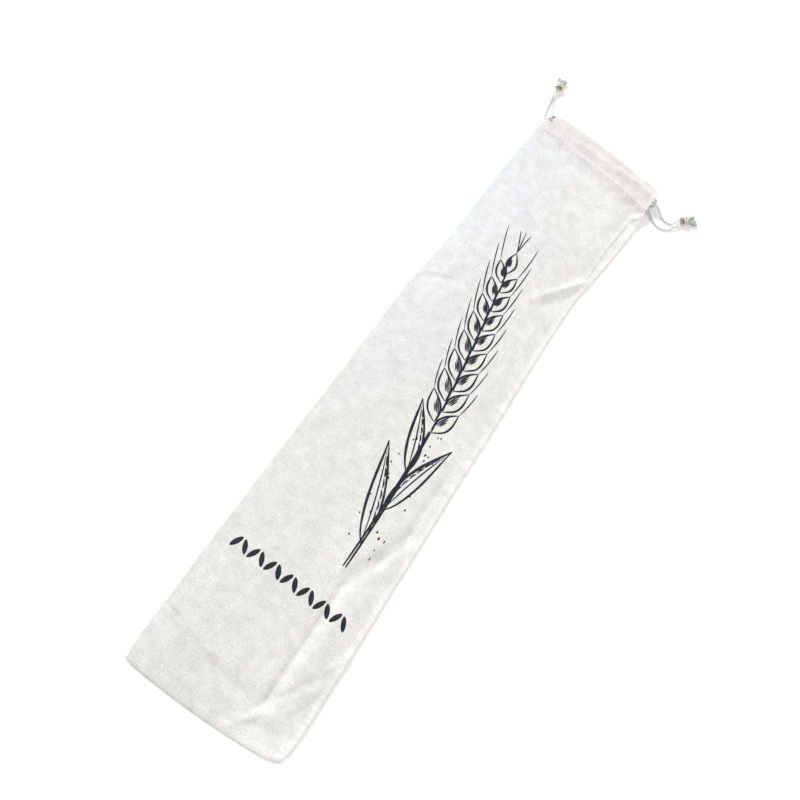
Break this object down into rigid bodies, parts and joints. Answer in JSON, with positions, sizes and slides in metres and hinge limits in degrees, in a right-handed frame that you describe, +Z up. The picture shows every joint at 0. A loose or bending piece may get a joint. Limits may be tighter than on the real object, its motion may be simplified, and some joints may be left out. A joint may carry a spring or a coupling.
{
  "type": "linen bread bag",
  "caption": "Long narrow linen bag for a loaf, lying flat, closed at the bottom and open at its hemmed mouth, with a knotted cotton drawstring at each side of the mouth.",
  "frame": {"origin": "on the surface that the bag lies on, under the middle of the cloth's outline", "axes": "+Z up, away from that surface; +Y along the bag towards its mouth; +X across the bag towards its seamed edge, with the folded edge at -X"},
  "size_m": [0.2186, 0.7476, 0.0159],
  "materials": {
    "linen": "matte plain weave, slubbed",
    "cotton_cord": "matte twisted cotton"
  },
  "bodies": {
    "root": {"bag_cloth": "linen", "drawstring_left": "cotton_cord", "drawstring_right": "cotton_cord", "tie_right_front": "cotton_cord", "tie_right_back": "cotton_cord", "tie_left_front": "cotton_cord", "tie_left_back": "cotton_cord", "knot_right": "cotton_cord", "knot_left": "cotton_cord"}
  },
  "joints": []
}
